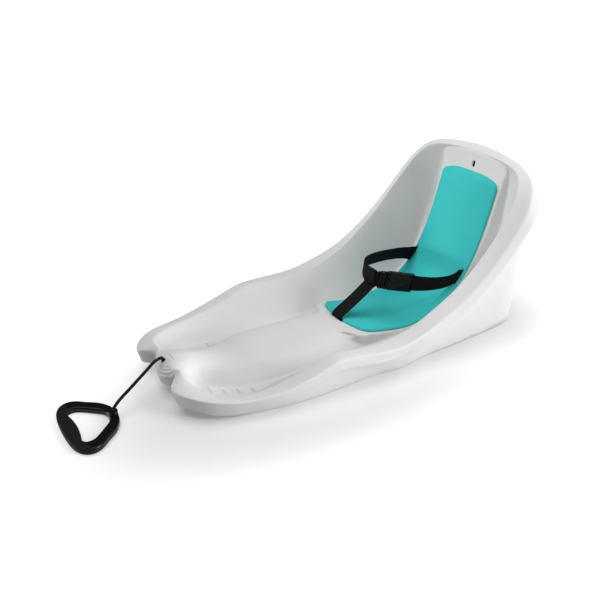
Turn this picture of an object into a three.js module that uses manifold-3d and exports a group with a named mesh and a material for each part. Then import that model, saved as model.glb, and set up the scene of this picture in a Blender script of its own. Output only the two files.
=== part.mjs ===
// Baby pull sled: a moulded plastic hull with two leg channels and a high backrest, a foam
// seat mat, a lap harness with a side-release buckle, and a pull rope with a hand loop.
// Millimetres. +Z is up, +Y points to the backrest and +X to the child's left. The floor is
// z = 0, x = 0 is the middle plane, and the hull's box is centred on the origin.

import * as THREE from "three";
import { mergeVertices } from "three/addons/utils/BufferGeometryUtils.js";
import Module from "manifold-3d";

const wasm = await Module();
wasm.setup();

// Driving sizes of the hull
const sled_length = 880;
const sled_width = 450;
const sled_height = 385;
const hull_wall = 3;
const lip_height = 24;
const lip_flare = 8;
const lip_inset = 1;
const rim_round = 6;
const rim_edge_round = 4;
const lip_round = 3;
const valley_round = 5;
const crown_round = 14;
const panel_round = 5;
const rope_hole = 10;
const hang_slot_length = 16;
const hang_slot_width = 8;
const cut_depth = 16;
const slot_depth = 26;

// Clearances between pieces that touch
const clearance = 0.3;
const mat_clearance = 0.5;
const weave_clearance = 0.9;

// How finely curves are drawn, and how close two points are to count as one
const round_sides = 16;
const curve_steps = 4;
const round_steps = 3;
const weld_distance = 1e-4;

// Seat mat
const mat_thickness = 6;
const mat_half_width = 90;
const mat_front_half_width = 83;
const mat_edge_round = 4;
const mat_corner_round = 11;
const mat_front_depth = 33;
const mat_front_power = 4.5;
const mat_top_depth = 15;
const mat_top_power = 3.5;
const mat_arc_steps = 16;

// Harness webbing, its slots and the bars sewn into its ends
const webbing_width = 38;
const webbing_thickness = 1.8;
const slot_length = 44;
const slot_width = 5.5;
const lap_slot_inset = 8;
const anchor_diameter = 6;
const anchor_length = 46;
const loop_play = 1.7;
const slot_lead = 9;
const strap_steps = 44;

// Buckle, along its own axis from the plug to the socket
const buckle_length = 90;
const buckle_width = 44;
const buckle_height = 13;
const buckle_round = 1.2;
const buckle_corner = 2.2;
const plug_length = 23;
const plug_height = 9;
const plug_bar = 4;
const plug_bar_height = 3.2;
const strap_gap = 5;
const socket_bar = 4;
const socket_bar_height = 3;
const socket_wall = 3;
const socket_depth = 38;
const blade_width = 12;
const blade_length = 30;
const blade_height = 6;
const prong_width = 4;
const prong_offset = 13;
const prong_length = 27;
const prong_play = 0.6;
const pad_length = 14;
const window_start = 12;
const window_length = 18;

// Pull rope and hand loop
const rope_diameter = 6.5;
const rope_clearance = 0.4;
const knot_diameter = 15;
const knot_length = 14;
const knot_groove = 1.2;
const knot_gap = 2;
const handle_height = 14;
const handle_round = 3.5;
const handle_bore = 9;
const handle_boss_width = 19;
const handle_boss_height = 19;
const handle_pocket = 15.6;
const handle_pocket_depth = 15;
const handle_knot_length = 11;
const handle_knot_diameter = 14;
const handle_knot_gap = 3.5;
const rope_tail_length = 2;
const knot_turn_count = 3;
const rope_steps = 60;
const rope_sides = 10;
const handle_steps = 52;
const grip_wall = 3;
const grip_seam = 0.6;

// Guide curves of the hull. A station runs from 0 at the middle of the nose, round the left
// lobe and along the side, to 21 at the middle of the back. Each row is a station with the
// shares of the half width, the length and the height.
const base_shares = [
  [0, 0, 0.019, 0.057],
  [1, 0.116, 0.028, 0.06],
  [2, 0.213, 0.048, 0.073],
  [3, 0.302, 0.027, 0.07],
  [4, 0.391, 0.011, 0.062],
  [5, 0.516, 0.026, 0.052],
  [6, 0.676, 0.072, 0.026],
  [7, 0.76, 0.165, 0],
  [8, 0.831, 0.244, 0],
  [9, 0.858, 0.33, 0],
  [10, 0.862, 0.398, 0],
  [11, 0.867, 0.489, 0],
  [12, 0.902, 0.534, 0],
  [13, 0.898, 0.585, 0],
  [13.5, 0.871, 0.619, 0],
  [14, 0.871, 0.67, 0],
  [17, 0.853, 0.866, 0],
  [18, 0.844, 0.915, 0],
  [19, 0.791, 0.957, 0],
  [20, 0.5, 0.966, 0],
  [21, 0, 0.966, 0],
];
const rim_outer_shares = [
  [0, 0, 0.013, 0.114],
  [1, 0.111, 0.018, 0.119],
  [2, 0.213, 0.034, 0.161],
  [3, 0.293, 0.016, 0.161],
  [4, 0.391, 0, 0.153],
  [5, 0.538, 0.018, 0.145],
  [6, 0.733, 0.068, 0.13],
  [7, 0.849, 0.159, 0.109],
  [8, 0.907, 0.244, 0.135],
  [9, 0.92, 0.33, 0.19],
  [9.5, 0.922, 0.357, 0.205],
  [10, 0.929, 0.392, 0.205],
  [11, 0.987, 0.489, 0.177],
  [12, 0.996, 0.528, 0.177],
  [13, 0.991, 0.586, 0.2],
  [14, 0.964, 0.676, 0.27],
  [15, 0.964, 0.739, 0.345],
  [16, 0.96, 0.802, 0.452],
  [17, 0.951, 0.866, 0.59],
  [18, 0.92, 0.925, 0.753],
  [19, 0.8, 0.965, 0.888],
  [20, 0.53, 0.98, 0.966],
  [21, 0, 0.989, 0.995],
];
const rim_inner_shares = [
  [0, 0, 0.018, 0.148],
  [1, 0.116, 0.024, 0.156],
  [2, 0.222, 0.045, 0.184],
  [3, 0.311, 0.042, 0.187],
  [4, 0.409, 0.048, 0.166],
  [5, 0.524, 0.061, 0.145],
  [6, 0.649, 0.091, 0.125],
  [7, 0.729, 0.156, 0.114],
  [8, 0.773, 0.248, 0.138],
  [9, 0.791, 0.33, 0.192],
  [9.5, 0.8, 0.361, 0.218],
  [10, 0.813, 0.398, 0.208],
  [11, 0.818, 0.483, 0.182],
  [12, 0.818, 0.528, 0.184],
  [13, 0.822, 0.593, 0.208],
  [14, 0.813, 0.67, 0.278],
  [15, 0.822, 0.739, 0.374],
  [16, 0.822, 0.805, 0.499],
  [17, 0.818, 0.864, 0.649],
  [18, 0.773, 0.916, 0.8],
  [19, 0.667, 0.948, 0.901],
  [20, 0.505, 0.963, 0.936],
  [21, 0, 0.973, 0.956],
];
const wall_foot_shares = [
  [0, 0, 0.025, 0.171],
  [1, 0.12, 0.032, 0.174],
  [2, 0.218, 0.053, 0.171],
  [3, 0.32, 0.068, 0.099],
  [4, 0.391, 0.086, 0.047],
  [5, 0.462, 0.107, 0.023],
  [6, 0.507, 0.139, 0.012],
  [7, 0.524, 0.188, 0],
  [8, 0.538, 0.248, 0],
  [9, 0.56, 0.332, 0],
  [10, 0.587, 0.4, 0],
  [11, 0.591, 0.489, 0],
  [12, 0.578, 0.53, 0],
  [13, 0.564, 0.591, 0],
  [14, 0.556, 0.675, 0],
  [15, 0.56, 0.757, 0.021],
  [16, 0.569, 0.845, 0.145],
  [17, 0.572, 0.912, 0.309],
  [18, 0.573, 0.95, 0.521],
  [19, 0.533, 0.968, 0.758],
  [19.5, 0.522, 0.972, 0.832],
  [20, 0.488, 0.9675, 0.922],
  [21, 0, 0.9715, 0.95],
];
const crown_foot_shares = [
  [0, 0, 0.031, 0.184],
  [1, 0.12, 0.039, 0.182],
  [2, 0.204, 0.06, 0.156],
  [3, 0.231, 0.075, 0.104],
  [4, 0.244, 0.094, 0.049],
  [5, 0.271, 0.118, 0.023],
  [6, 0.32, 0.152, 0.013],
  [7, 0.378, 0.191, 0],
  [8, 0.418, 0.252, 0],
  [9, 0.44, 0.334, 0],
  [10, 0.427, 0.402, 0],
  [11, 0.431, 0.502, 0],
  [12, 0.458, 0.551, 0],
  [13, 0.471, 0.6, 0],
  [14, 0.48, 0.68, 0],
  [15, 0.48, 0.761, 0.021],
  [16, 0.489, 0.85, 0.14],
  [17, 0.493, 0.916, 0.301],
  [18, 0.492, 0.953, 0.511],
  [19, 0.471, 0.973, 0.755],
  [19.5, 0.478, 0.975, 0.827],
  [20, 0.473, 0.9675, 0.912],
  [21, 0, 0.9705, 0.945],
];
const crown_edge_shares = [
  [0, 0, 0.039, 0.195],
  [1, 0.089, 0.048, 0.195],
  [2, 0.133, 0.065, 0.182],
  [3, 0.151, 0.078, 0.166],
  [4, 0.16, 0.097, 0.135],
  [5, 0.178, 0.119, 0.109],
  [6, 0.209, 0.153, 0.086],
  [7, 0.244, 0.192, 0.073],
  [8, 0.274, 0.246, 0.079],
  [9, 0.28, 0.334, 0.06],
  [10, 0.276, 0.402, 0.057],
  [11, 0.285, 0.502, 0.058],
  [11.5, 0.396, 0.521, 0.084],
  [12, 0.427, 0.553, 0.07],
  [13, 0.436, 0.6, 0.044],
  [14, 0.44, 0.68, 0.025],
  [15, 0.44, 0.761, 0.057],
  [16, 0.44, 0.839, 0.167],
  [17, 0.44, 0.892, 0.33],
  [18, 0.436, 0.927, 0.53],
  [19, 0.432, 0.957, 0.784],
  [19.5, 0.442, 0.963, 0.845],
  [20, 0.455, 0.966, 0.902],
  [21, 0, 0.9695, 0.94],
];
const spine_shares = [
  [1, 0, 0.05, 0.205],
  [2, 0, 0.066, 0.197],
  [3, 0, 0.08, 0.19],
  [4, 0, 0.098, 0.179],
  [5, 0, 0.12, 0.164],
  [6, 0, 0.155, 0.139],
  [7, 0, 0.193, 0.119],
  [7.5, 0, 0.224, 0.113],
  [8, 0, 0.244, 0.124],
  [9, 0, 0.334, 0.096],
  [10, 0, 0.402, 0.094],
  [11, 0, 0.483, 0.097],
  [11.5, 0, 0.501, 0.097],
  [12, 0, 0.519, 0.092],
  [13, 0, 0.591, 0.057],
  [14, 0, 0.677, 0.026],
  [15, 0, 0.761, 0.057],
  [16, 0, 0.839, 0.169],
  [17, 0, 0.892, 0.332],
  [18, 0, 0.927, 0.532],
  [19, 0, 0.957, 0.779],
  [19.5, 0, 0.963, 0.84],
  [20, 0, 0.966, 0.885],
  [21, 0, 0.9685, 0.915],
];

// At a station, how far the lip hangs free of the skirt, and how much of its flare it has
const lip_free_shares = [
  [0, 0, 1],
  [8, 0, 1],
  [9, 0.4, 1],
  [10.5, 0.8, 1],
  [12, 0.1, 1],
  [13, 0.5, 1],
  [14, 1, 1],
  [17, 1, 1.2],
  [18, 1, 2.1],
  [19, 1, 2.7],
  [20, 1, 2.3],
  [21, 1, 2],
];
const last_station = 21;
const panel_station = 11;
const ribs_per_station = 2;
const tangent_station_share = 0.05;
const skirt_share = 0.5;
const wall_step_shares = [1 / 3, 2 / 3];
const crown_step_shares = [1 / 4, 1 / 2, 3 / 4];
const fillet_limit_share = 0.45;
const mat_column_shares = [0, 1 / 4, 1 / 2, 3 / 4];

// Places on the hull, with the mat's half width from its front to its top
const rope_hole_station = 0;
const lap_slot_station = 16.45;
const crotch_slot_station = 12.02;
const hang_slot_station = 19.83;
const mat_width_rows = [
  [12, mat_front_half_width],
  [13, mat_front_half_width + mat_edge_round / 4],
  [14, mat_half_width],
  [19, mat_half_width],
  [19.42, mat_half_width - mat_edge_round / 2],
];
const mat_extra_stations = [12.08, 19.42];

// The lap strap from the right slot to the plug, and from the socket to the left slot, and
// the crotch strap up to its loop: shares of the mat's half width and of the sled's length
// and height, then the direction across the webbing
const right_strap_shares = [
  [-0.909, 0.8466, 0.2636, 0, 0.5, 0.87],
  [-0.9032, 0.8318, 0.2688, 0, 0.4, 0.9],
  [-0.89, 0.796, 0.282, 0.2, 0.2, 0.95],
  [-0.845, 0.75, 0.305, 0.3, 0.1, 0.95],
  [-0.7775, 0.71, 0.323, 0.3, 0, 0.95],
  [-0.69, 0.676, 0.3335, 0.3, 0, 0.95],
  [-0.565, 0.65, 0.332, 0.2, 0, 0.97],
  [-0.4, 0.634, 0.3225, 0.1, 0, 1],
  [-0.26, 0.6268, 0.313, 0, 0, 1],
  [0, 0.626, 0.3104, 0, 0, 1],
  [0.1375, 0.626, 0.3104, 0, 0, 1],
  [0.21, 0.6263, 0.31, 0, 0, 1],
  [0.2413, 0.6287, 0.309, 0.02, 0.1, 1],
];
const left_strap_shares = [
  [0.589, 0.7443, 0.238, 0.06, 0.22, 0.97],
  [0.689, 0.775, 0.226, 0, 0.2, 0.95],
  [0.7775, 0.7989, 0.23, 0, 0.2, 0.95],
  [0.845, 0.8193, 0.2416, 0, 0.3, 0.9],
  [0.8825, 0.8341, 0.2545, 0, 0.4, 0.9],
  [0.905, 0.844, 0.263, 0, 0.5, 0.87],
];
const crotch_strap_shares = [
  [0, 0.526, 0.115, 1, 0, 0],
  [0, 0.539, 0.1405, 1, 0, 0],
  [0, 0.561, 0.17, 1, 0, 0],
  [0, 0.591, 0.2105, 1, 0, 0],
  [0, 0.61, 0.237, 1, 0, 0],
  [0, 0.622, 0.254, 1, 0, 0],
];
const crotch_loop_row = 9;

// The buckle's plug end and the way its axis points
const buckle_shares = [0.2725, 0.632, 0.3065];
const buckle_direction = [0.269, 0.93, -0.247];

// Pull rope's route from under the nose to the hand loop
const rope_route = [
  [2, -421, 78],
  [4.6, -429.6, 77.6],
  [7.6, -439.5, 74.2],
  [12.1, -455, 66],
  [16.4, -470, 58.4],
  [23.6, -495, 46],
  [30.6, -519, 34.4],
  [34.5, -531.8, 25.6],
];

// Hand loop: half outlines from its apex to the middle of its grip, as shares of its width
// and depth
const handle_width = 167;
const handle_depth = 108.5;
const handle_center_x = 36;
const handle_apex_y = -528.5;
const handle_seam_share = 0.723;
const handle_bore_share = 0.0875;
const handle_outline_shares = [
  [0, 0],
  [0.144, 0.041],
  [0.204, 0.092],
  [0.275, 0.168],
  [0.332, 0.267],
  [0.389, 0.382],
  [0.452, 0.491],
  [0.488, 0.59],
  [0.5, 0.687],
  [0.482, 0.788],
  [0.446, 0.862],
  [0.389, 0.922],
  [0.299, 0.968],
  [0.18, 0.991],
  [0, 1],
];
const handle_hole_shares = [
  [0, 0.172],
  [0.06, 0.18],
  [0.126, 0.23],
  [0.18, 0.318],
  [0.234, 0.41],
  [0.287, 0.507],
  [0.326, 0.59],
  [0.337, 0.668],
  [0.325, 0.742],
  [0.281, 0.783],
  [0.198, 0.76],
  [0.09, 0.737],
  [0, 0.731],
];

const half_width = sled_width / 2;
const X = new THREE.Vector3(1, 0, 0);
const Z = new THREE.Vector3(0, 0, 1);

// Colours and finishes
const shell_white = finish(0xeceded, 0.42);
const mat_teal = finish(0x40beb8, 0.7);
const webbing_black = finish(0x1c1818, 0.85);
const buckle_black = finish(0x141414, 0.35);
const rope_black = finish(0x161414, 0.8);
const handle_black = finish(0x101010, 0.3);
const grip_grey = finish(0x343434, 0.65);

function finish(color, roughness) {
  return { color, roughness, metalness: 0 };
}

// Solids and booleans

function solid(geometry) {
  const bare = geometry.index ? geometry.toNonIndexed() : geometry.clone();
  bare.deleteAttribute("normal");
  bare.deleteAttribute("uv");
  const merged = mergeVertices(bare, weld_distance);
  const { array, itemSize } = merged.attributes.position;
  const triVerts = new Uint32Array(merged.index.array);
  return new wasm.Manifold(new wasm.Mesh({ numProp: itemSize, vertProperties: array, triVerts }));
}

function geometryOf(manifold) {
  const { vertProperties, triVerts, numProp } = manifold.getMesh();
  const geometry = new THREE.BufferGeometry();
  const positions = new THREE.BufferAttribute(Float32Array.from(vertProperties), numProp);
  geometry.setAttribute("position", positions);
  geometry.setIndex(new THREE.BufferAttribute(Uint32Array.from(triVerts), 1));
  const flat = geometry.toNonIndexed();
  flat.computeVertexNormals();
  return flat;
}

function cutAll(body, cutters) {
  return cutters.reduce((left, cutter) => left.subtract(cutter), body);
}

function piece(name, geometry, look) {
  const mesh = new THREE.Mesh(geometry, new THREE.MeshStandardMaterial(look));
  mesh.name = name;
  return mesh;
}

// A closed solid from triangles of points
function fromTriangles(triangles) {
  const geometry = new THREE.BufferGeometry().setFromPoints(triangles.flat());
  geometry.computeVertexNormals();
  return geometry;
}

function quad(a, b, c, d) {
  return [
    [a, b, c],
    [a, c, d],
  ];
}

// Placement from an origin and three axes
function frameAt(origin, x_axis, y_axis, z_axis) {
  return new THREE.Matrix4().makeBasis(x_axis, y_axis, z_axis).setPosition(origin);
}

// Stadium-shaped cutter: length along x, width along y, through along z
function slotCutter(length, width, depth, matrix) {
  const run = (length - width) / 2;
  const outline = new THREE.Shape();
  outline.absarc(run, 0, width / 2, -Math.PI / 2, Math.PI / 2);
  outline.absarc(-run, 0, width / 2, Math.PI / 2, (3 * Math.PI) / 2);
  const bar = new THREE.ExtrudeGeometry(outline, { depth, bevelEnabled: false, curveSegments: curve_steps });
  bar.translate(0, 0, -depth / 2);
  return solid(bar.applyMatrix4(matrix));
}

// Guide curves

// One column of a table at a station, along a cubic that never overshoots its rows
function columnAt(rows, column, station) {
  const last = rows.length - 1;
  const rise = (k) => (rows[k + 1][column] - rows[k][column]) / (rows[k + 1][0] - rows[k][0]);
  const slope = (k) => {
    if (k === 0 || k === last) return column === 1 ? rise(Math.min(k, last - 1)) : 0;
    const before = rise(k - 1);
    const after = rise(k);
    return before * after > 0 ? (2 * before * after) / (before + after) : 0;
  };
  let k = 0;
  while (k < last - 1 && station > rows[k + 1][0]) k++;
  const span = rows[k + 1][0] - rows[k][0];
  const t = (station - rows[k][0]) / span;
  const near = rows[k][column] + t * t * (3 - 2 * t) * (rows[k + 1][column] - rows[k][column]);
  return near + span * t * (1 - t) * ((1 - t) * slope(k) - t * slope(k + 1));
}

function guideAt(rows, station) {
  return new THREE.Vector3(
    columnAt(rows, 1, station) * half_width,
    (columnAt(rows, 2, station) - 1 / 2) * sled_length,
    columnAt(rows, 3, station) * sled_height,
  );
}

// The channel floor lies one wall above the ground, so its underside is the runner sole
function channelAt(rows, station) {
  const point = guideAt(rows, station);
  point.z = Math.max(point.z, hull_wall);
  return point;
}

// A point of the raised middle, across it at a share of its half width
function crownAt(station, share) {
  const spine = guideAt(spine_shares, station);
  const edge = guideAt(crown_edge_shares, station);
  const point = spine.clone().lerp(edge, share * share);
  point.x = edge.x * share;
  return point;
}

// Hull

// The outer rim's direction at a station, with the directions out of and down from it
function rimFrame(station) {
  const before = guideAt(rim_outer_shares, Math.max(station - tangent_station_share, 0));
  const after = guideAt(rim_outer_shares, Math.min(station + tangent_station_share, last_station));
  const along = after.sub(before);
  if (station === 0 || station === last_station) along.setY(0).setZ(0);
  along.normalize();
  const outward = new THREE.Vector3(along.y, -along.x, 0).normalize();
  const down = along.clone().cross(outward);
  return { outward, down };
}

// Corners of one rib, from the spine out to the base, each with the cut of its fillet
function ribCorners(station) {
  const edge = guideAt(crown_edge_shares, station);
  const foot = channelAt(wall_foot_shares, station);
  const inner = guideAt(rim_inner_shares, station);
  const outer = guideAt(rim_outer_shares, station);
  const base = guideAt(base_shares, station);
  const { outward, down } = rimFrame(station);
  const free = columnAt(lip_free_shares, 1, station);
  const flare = columnAt(lip_free_shares, 2, station) * lip_flare;
  const reach = Math.min(skirt_share, lip_height / outer.distanceTo(base));
  const plain_lip = outer.clone().lerp(base, reach);
  const free_lip = outer.clone().addScaledVector(down, lip_height).addScaledVector(outward, flare);
  const lip = plain_lip.clone().lerp(free_lip, free);
  const panel = lip.clone().lerp(base, (1 - free) * skirt_share * skirt_share);
  panel.addScaledVector(outward, -(flare + lip_inset) * free);
  panel.addScaledVector(down, (lip_round / 2) * free);
  const corners = crown_step_shares.map((share) => [crownAt(station, share), 0]);
  corners.unshift([crownAt(station, 0), 0]);
  corners.push([edge, station > panel_station ? panel_round : crown_round]);
  corners.push([channelAt(crown_foot_shares, station), valley_round], [foot, valley_round]);
  corners.push(...wall_step_shares.map((share) => [foot.clone().lerp(inner, share), 0]));
  corners.push([inner, rim_edge_round], [outer, rim_round], [lip, lip_round], [panel, lip_round]);
  corners.push(...wall_step_shares.map((share) => [panel.clone().lerp(base, share), 0]));
  corners.push([base, 0]);
  return corners;
}

// The rib's points, with each fillet drawn as three points of a quadratic curve
function ribPoints(station) {
  const corners = ribCorners(station);
  return corners.flatMap(([point, cut], k) => {
    if (!cut) return [point];
    const before = corners[k - 1][0];
    const after = corners[k + 1][0];
    const limit = fillet_limit_share * Math.min(point.distanceTo(before), point.distanceTo(after));
    const reach = Math.min(cut, limit);
    const start = point.clone().addScaledVector(before.clone().sub(point).normalize(), reach);
    const end = point.clone().addScaledVector(after.clone().sub(point).normalize(), reach);
    const middle = start.clone().lerp(end, 1 / 2).lerp(point, 1 / 2);
    return [start, middle, end];
  });
}

function mirrored(point) {
  return new THREE.Vector3(-point.x, point.y, point.z);
}

// The outer grid moved in by the wall, with the runner soles and the bottom edge kept level
function underGrid(grid) {
  const last_rib = grid.length - 1;
  const last_point = grid[0].length - 1;
  const at = (i, j) => {
    if (i < 0) return mirrored(grid[-i][j]);
    if (i > last_rib) return mirrored(grid[2 * last_rib - i][j]);
    return j < 0 ? mirrored(grid[i][-j]) : grid[i][Math.min(j, last_point)];
  };
  return grid.map((rib, i) =>
    rib.map((point, j) => {
      const along = at(i + 1, j).clone().sub(at(i - 1, j));
      const across = at(i, j + 1).clone().sub(at(i, j - 1));
      const normal = across.cross(along);
      if (j === last_point) normal.z = 0;
      if (i === 0 || i === last_rib || j === 0) normal.x = 0;
      const under = point.clone().addScaledVector(normal.normalize(), -hull_wall);
      const on_sole = point.z < hull_wall + weld_distance;
      under.z = on_sole ? 0 : Math.max(under.z, 0);
      return under;
    }),
  );
}

// Triangles of one half of a grid; the corner cells lose the point on the middle plane, so
// that the two halves meet there in one plain quad
function halfTriangles(grid) {
  const triangles = [];
  for (let i = 0; i + 1 < grid.length; i++)
    for (let j = 0; j + 1 < grid[0].length; j++) {
      const [a, b, c, d] = [grid[i][j], grid[i][j + 1], grid[i + 1][j + 1], grid[i + 1][j]];
      if (i === 0 && j === 0) triangles.push([b, c, d]);
      else if (i === grid.length - 2 && j === 0) triangles.push([a, b, c]);
      else triangles.push(...quad(a, b, c, d));
    }
  return triangles;
}

function flipped(triangles) {
  return triangles.map(([a, b, c]) => [a, c, b]);
}

function hullShell() {
  const count = last_station * ribs_per_station + 1;
  const stations = Array.from({ length: count }, (_, i) => i / ribs_per_station);
  const outer = stations.map(ribPoints);
  const under = underGrid(outer);
  const last_point = outer[0].length - 1;
  const half = [...halfTriangles(outer), ...flipped(halfTriangles(under))];
  for (let i = 0; i + 1 < outer.length; i++) {
    const [here, next] = [i, i + 1].map((rib) => [outer[rib][last_point], under[rib][last_point]]);
    half.push(...quad(here[0], here[1], next[1], next[0]));
  }
  const other = flipped(half.map((triangle) => triangle.map(mirrored)));
  return fromTriangles([...half, ...other]);
}

// A place on the raised middle, with the directions along it and out of it
function crownFrame(station, x) {
  const share = x / guideAt(crown_edge_shares, station).x;
  const before = crownAt(station - tangent_station_share, share);
  const along = crownAt(station + tangent_station_share, share).sub(before).setX(0).normalize();
  return { point: crownAt(station, share), along, normal: X.clone().cross(along) };
}

function lapSlot(side) {
  return crownFrame(lap_slot_station, side * (mat_half_width - lap_slot_inset));
}

function lapCutter(side) {
  const { point, along, normal } = lapSlot(side);
  const frame = frameAt(point, along, X.clone().negate(), normal);
  return slotCutter(slot_length, slot_width, slot_depth, frame);
}

function crotchCutter() {
  const { point, along, normal } = crownFrame(crotch_slot_station, 0);
  return slotCutter(slot_length, slot_width, slot_depth, frameAt(point, X, along, normal));
}

function hangCutter() {
  const { point, along, normal } = crownFrame(hang_slot_station, 0);
  const frame = frameAt(point, along, X.clone().negate(), normal);
  return slotCutter(hang_slot_length, hang_slot_width, cut_depth, frame);
}

function ropeHole() {
  const point = guideAt(crown_foot_shares, rope_hole_station);
  const below = guideAt(wall_foot_shares, rope_hole_station);
  const along = guideAt(crown_edge_shares, rope_hole_station).sub(below);
  const normal = X.clone().cross(along.normalize());
  return { point, normal };
}

// Placement whose z axis points along a direction
function alignedAt(point, direction) {
  const turn = new THREE.Quaternion().setFromUnitVectors(Z, direction);
  return new THREE.Matrix4().makeRotationFromQuaternion(turn).setPosition(point);
}

// Solid cylinder from z = 0 up
function rod(diameter, length, sides) {
  const geometry = new THREE.CylinderGeometry(diameter / 2, diameter / 2, length, sides);
  return geometry.rotateX(Math.PI / 2).translate(0, 0, length / 2);
}

function hullWithHoles() {
  const { point, normal } = ropeHole();
  const bore = rod(rope_hole, cut_depth, round_sides).translate(0, 0, -cut_depth / 2);
  const rope_cutter = solid(bore.applyMatrix4(alignedAt(point, normal)));
  const cutters = [lapCutter(1), lapCutter(-1), crotchCutter(), hangCutter(), rope_cutter];
  return geometryOf(cutAll(solid(hullShell()), cutters));
}

// Seat mat

// A row of the mat's seat side, on the facet between the hull's two ribs beside it
function matRow(station) {
  const first = Math.floor(station * ribs_per_station) / ribs_per_station;
  const onward = (station - first) * ribs_per_station;
  const row = (rib, x) => crownAt(rib, x / guideAt(crown_edge_shares, rib).x);
  const half = columnAt(mat_width_rows, 1, station);
  const places = [...mat_column_shares.map((share) => share * half), half - mat_edge_round, half];
  const right = places.slice(1).reverse().map((x) => -x);
  const next = first + 1 / ribs_per_station;
  return [...right, ...places].map((x) => row(first, x).lerp(row(next, x), onward));
}

// A closed slab: a grid moved out to two heights and joined along its border
function slab(lower, upper) {
  const rows = lower.length - 1;
  const columns = lower[0].length - 1;
  const triangles = [];
  for (let i = 0; i < rows; i++)
    for (let j = 0; j < columns; j++) {
      triangles.push(...quad(upper[i][j], upper[i][j + 1], upper[i + 1][j + 1], upper[i + 1][j]));
      triangles.push(...quad(lower[i][j], lower[i + 1][j], lower[i + 1][j + 1], lower[i][j + 1]));
    }
  for (let j = 0; j < columns; j++) {
    triangles.push(...quad(lower[0][j], lower[0][j + 1], upper[0][j + 1], upper[0][j]));
    triangles.push(...quad(lower[rows][j + 1], lower[rows][j], upper[rows][j], upper[rows][j + 1]));
  }
  for (let i = 0; i < rows; i++) {
    const [here, next] = [i, i + 1].map((row) => [lower[row][columns], upper[row][columns]]);
    triangles.push(...quad(lower[i + 1][0], lower[i][0], upper[i][0], upper[i + 1][0]));
    triangles.push(...quad(here[0], next[0], next[1], here[1]));
  }
  return fromTriangles(triangles);
}

// Takes the mat's end off past one arc that falls back by depth at a half width, and turns
// round a corner there into the mat's side
function arcCutter(half, depth, power) {
  const shape = new THREE.Shape();
  const side = 2 * mat_half_width;
  shape.moveTo(-side, -side).lineTo(side, -side);
  for (let i = mat_arc_steps; i >= -mat_arc_steps; i--) {
    const share = Math.sin((i / mat_arc_steps) * (Math.PI / 2));
    const turned = Math.max(1 - (1 - Math.abs(share)) * (half / mat_corner_round), 0);
    const corner = mat_corner_round * (1 - Math.sqrt(1 - turned * turned));
    shape.lineTo(share * (half + clearance), depth * Math.abs(share) ** power + corner);
  }
  return new THREE.ExtrudeGeometry(shape, { depth: 2 * sled_height, bevelEnabled: false });
}

function matCutters() {
  const front = guideAt(spine_shares, mat_width_rows[0][0]).y - clearance;
  const top = guideAt(spine_shares, mat_width_rows.at(-1)[0]);
  const below = arcCutter(mat_front_half_width, mat_front_depth, mat_front_power).translate(0, front, 0);
  const above = arcCutter(mat_half_width, mat_top_depth, mat_top_power).rotateX(-Math.PI / 2);
  return [below, above.translate(0, top.y - sled_height, top.z)].map(solid);
}

function seatMat() {
  const first = mat_width_rows[0][0];
  const last = mat_width_rows.at(-1)[0];
  const count = Math.floor((last - first) * ribs_per_station);
  const stations = Array.from({ length: count + 1 }, (_, i) => first + i / ribs_per_station);
  const rows = [...stations, ...mat_extra_stations].sort((a, b) => a - b).map(matRow);
  const moved = (height) =>
    rows.map((row, i) =>
      row.map((point, j) => {
        const [bottom, top] = [Math.max(i - 1, 0), Math.min(i + 1, rows.length - 1)];
        const [left, right] = [Math.max(j - 1, 0), Math.min(j + 1, row.length - 1)];
        const along = rows[top][j].clone().sub(rows[bottom][j]);
        const across = row[right].clone().sub(row[left]);
        const rim = i === bottom || i === top || j === left || j === right;
        const rise = mat_clearance + (rim ? height / 2 : height);
        return point.clone().addScaledVector(across.cross(along).normalize(), rise);
      }),
    );
  const cutters = [lapCutter(1), lapCutter(-1), crotchCutter(), ...matCutters()];
  return geometryOf(cutAll(solid(slab(moved(0), moved(mat_thickness))), cutters));
}

// Harness

// Flat webbing through a list of centre points, each with the direction across it
function ribbon(stops, steps, closed = false) {
  const centre = new THREE.CatmullRomCurve3(stops.map((stop) => stop.point), closed);
  const sideways = new THREE.CatmullRomCurve3(stops.map((stop) => stop.across), closed);
  const count = closed ? steps : steps + 1;
  const rings = Array.from({ length: count }, (_, i) => {
    const point = centre.getPoint(i / steps);
    const tangent = centre.getTangent(i / steps);
    const across = sideways.getPoint(i / steps);
    across.addScaledVector(tangent, -across.dot(tangent)).setLength(webbing_width / 2);
    const through = tangent.cross(across).setLength(webbing_thickness / 2);
    return [[1, 1], [-1, 1], [-1, -1], [1, -1]].map(([a, b]) =>
      point.clone().addScaledVector(across, a).addScaledVector(through, b),
    );
  });
  const triangles = [];
  for (let i = 0; i < (closed ? count : count - 1); i++) {
    const here = rings[i];
    const next = rings[(i + 1) % count];
    for (let k = 0; k < here.length; k++) {
      const other = (k + 1) % here.length;
      triangles.push(...quad(here[k], here[other], next[other], next[k]));
    }
  }
  const ends = [rings[0].slice().reverse(), rings.at(-1)];
  if (!closed) triangles.push(...ends.flatMap((ring) => quad(...ring)));
  return solid(fromTriangles(triangles));
}

function stop(point, across) {
  return { point, across };
}

function fromShares(x, y, z) {
  return new THREE.Vector3(x * mat_half_width, (y - 1 / 2) * sled_length, z * sled_height);
}

function stopsFrom(rows) {
  return rows.map(([x, y, z, ...across]) => stop(fromShares(x, y, z), new THREE.Vector3(...across)));
}

// The hem sewn round an anchor bar behind a slot: the bar's place and the ring's radius
function anchorPlace({ point, normal }) {
  const radius = anchor_diameter / 2 + clearance + webbing_thickness / 2;
  const depth = hull_wall + clearance + webbing_thickness / 2 + radius;
  return { center: point.clone().addScaledVector(normal, -depth), radius };
}

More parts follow.
